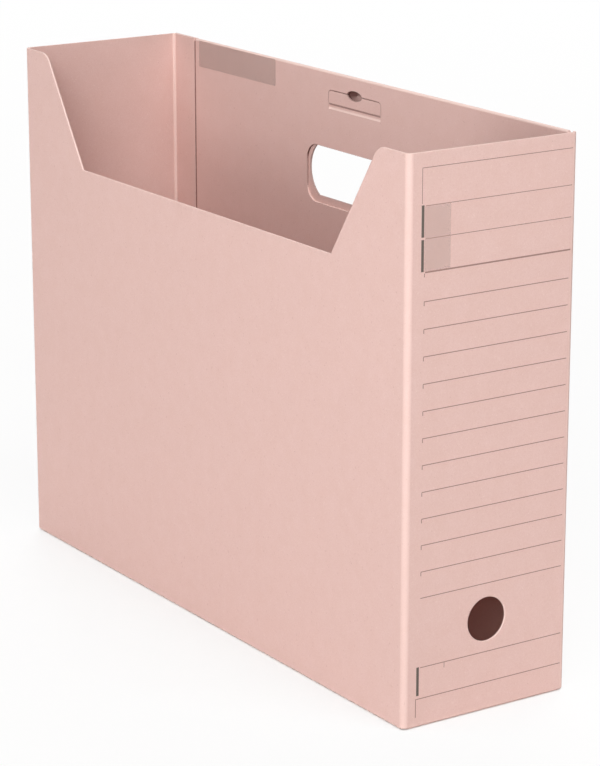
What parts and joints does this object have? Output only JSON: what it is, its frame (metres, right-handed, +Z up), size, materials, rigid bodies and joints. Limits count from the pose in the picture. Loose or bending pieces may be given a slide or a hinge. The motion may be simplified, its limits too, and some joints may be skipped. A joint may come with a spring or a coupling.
{
  "type": "file box",
  "caption": "Open-topped paperboard file box with a lined hand hole, a pull tab, a cut-out side, a finger hole in its spine and a bottom that folds flat with the walls.",
  "frame": {"origin": "middle of the underside", "axes": "+X across the narrow spine from the cut-out side to the hand-hole side, +Y from the spine to the rear end, +Z up"},
  "size_m": [0.105, 0.39, 0.3],
  "materials": {
    "board": "matte, dyed through"
  },
  "bodies": {
    "far_side": {"far_side_panel": "board", "far_side_liner": "board", "top_fold": "board", "seam_glue_flap": "board", "far_bottom_crease": "board", "front_far_crease": "board"},
    "pull_tab": {"pull_tab": "board"},
    "front_spine": {"front_spine_panel": "board", "front_near_crease": "board", "front_bottom_crease": "board"},
    "rear_end": {"rear_end_panel": "board", "rear_near_crease": "board", "seam_crease": "board", "rear_bottom_crease": "board"},
    "near_side": {"near_side_panel": "board", "near_bottom_crease": "board"},
    "far_flap": {"far_bottom_flap": "board", "far_glue_corner": "board"},
    "near_flap": {"near_bottom_flap": "board", "near_glue_corner": "board"},
    "front_flap": {"front_bottom_flap": "board"},
    "rear_flap": {"rear_bottom_flap": "board"}
  },
  "joints": [
    {"name": "fold_flat", "type": "hinge", "parent": "far_side", "child": "front_spine", "pos_m": [0.0495, -0.192, 0], "axis": [0, 0, -1], "range_deg": [0, 80], "deforming": ["front_far_crease"]},
    {"name": "rear_fold", "type": "hinge", "parent": "far_side", "child": "rear_end", "pos_m": [0.0495, 0.1932, 0], "axis": [0, 0, -1], "range_deg": [0, 80], "deforming": ["seam_crease", "rear_near_crease"]},
    {"name": "near_fold", "type": "hinge", "parent": "front_spine", "child": "near_side", "pos_m": [-0.0495, -0.192, 0], "axis": [0, 0, 1], "range_deg": [0, 80], "deforming": ["front_near_crease"]},
    {"name": "far_flap_fold", "type": "hinge", "parent": "far_side", "child": "far_flap", "pos_m": [0.0507, 0, 0.0018], "axis": [0, 1, 0], "range_deg": [0, 85], "deforming": ["far_bottom_crease"]},
    {"name": "near_flap_fold", "type": "hinge", "parent": "near_side", "child": "near_flap", "pos_m": [-0.0507, 0, 0.0018], "axis": [0, -1, 0], "range_deg": [0, 85], "deforming": ["near_bottom_crease"]},
    {"name": "front_flap_fold", "type": "hinge", "parent": "front_spine", "child": "front_flap", "pos_m": [0, -0.1932, 0.0018], "axis": [1, 0, 0], "range_deg": [0, 85], "deforming": ["front_bottom_crease"]},
    {"name": "rear_flap_fold", "type": "hinge", "parent": "rear_end", "child": "rear_flap", "pos_m": [0, 0.1932, 0.0018], "axis": [-1, 0, 0], "range_deg": [0, 85], "deforming": ["rear_bottom_crease"]},
    {"name": "tab_hinge", "type": "hinge", "parent": "far_side", "child": "pull_tab", "pos_m": [0.0501, 0, 0.2822], "axis": [0, -1, 0], "range_deg": [0, 90]}
  ],
  "couplings": [
    {"joint": "rear_fold", "follows": "fold_flat", "ratio": 1},
    {"joint": "near_fold", "follows": "fold_flat", "ratio": 1},
    {"joint": "far_flap_fold", "follows": "fold_flat", "ratio": 1.0625},
    {"joint": "near_flap_fold", "follows": "fold_flat", "ratio": 1.0625},
    {"joint": "front_flap_fold", "follows": "fold_flat", "ratio": 1.0625},
    {"joint": "rear_flap_fold", "follows": "fold_flat", "ratio": 1.0625}
  ]
}
